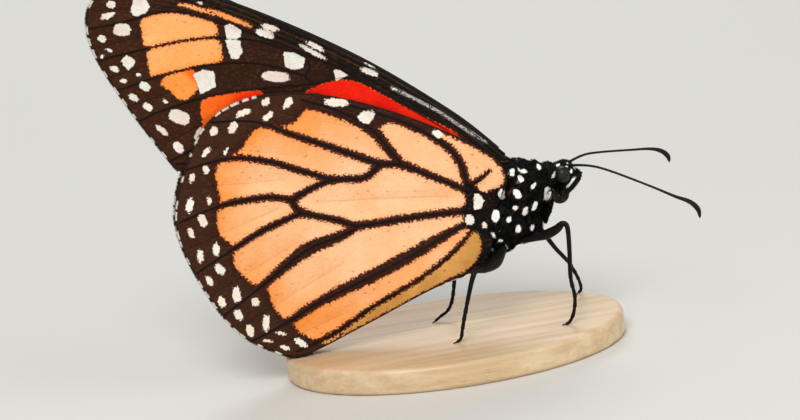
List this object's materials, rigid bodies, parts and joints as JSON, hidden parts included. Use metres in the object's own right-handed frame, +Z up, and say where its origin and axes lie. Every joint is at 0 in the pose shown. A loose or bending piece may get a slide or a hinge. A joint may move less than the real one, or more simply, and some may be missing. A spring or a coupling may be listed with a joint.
{
  "type": "monarch butterfly",
  "caption": "Life-size still model of a monarch butterfly standing with its wings closed over its back, on a plain oval base.",
  "frame": {"origin": "centre of the base's underside", "axes": "+X towards the head, along the base's length; +Y to the butterfly's left; +Z up"},
  "size_m": [0.0668, 0.028, 0.05],
  "materials": {
    "base_wood": "pale maple, sanded and oiled",
    "body_hair": "black hair-like scales with tufts of white",
    "eye": "dark faceted eye, softly glossy",
    "cuticle": "black-brown insect cuticle, fine scales, low sheen",
    "forewing_scales": "brown-black wing scales with orange patches and white spots",
    "hindwing_scales": "pale orange wing scales, black veins and border, white spots"
  },
  "bodies": {
    "root": {"stand_base": "base_wood", "head": "body_hair", "neck": "body_hair", "thorax": "body_hair", "abdomen": "body_hair", "eye_left": "eye", "eye_right": "eye", "palp_left": "body_hair", "palp_right": "body_hair", "proboscis": "cuticle", "antenna_left": "cuticle", "antenna_right": "cuticle", "forewing_left": "forewing_scales", "forewing_right": "forewing_scales", "hindwing_left": "hindwing_scales", "hindwing_right": "hindwing_scales", "leg_fore_left": "cuticle", "leg_fore_right": "cuticle", "leg_mid_left": "cuticle", "leg_mid_right": "cuticle", "leg_hind_left": "cuticle", "leg_hind_right": "cuticle"}
  },
  "joints": []
}
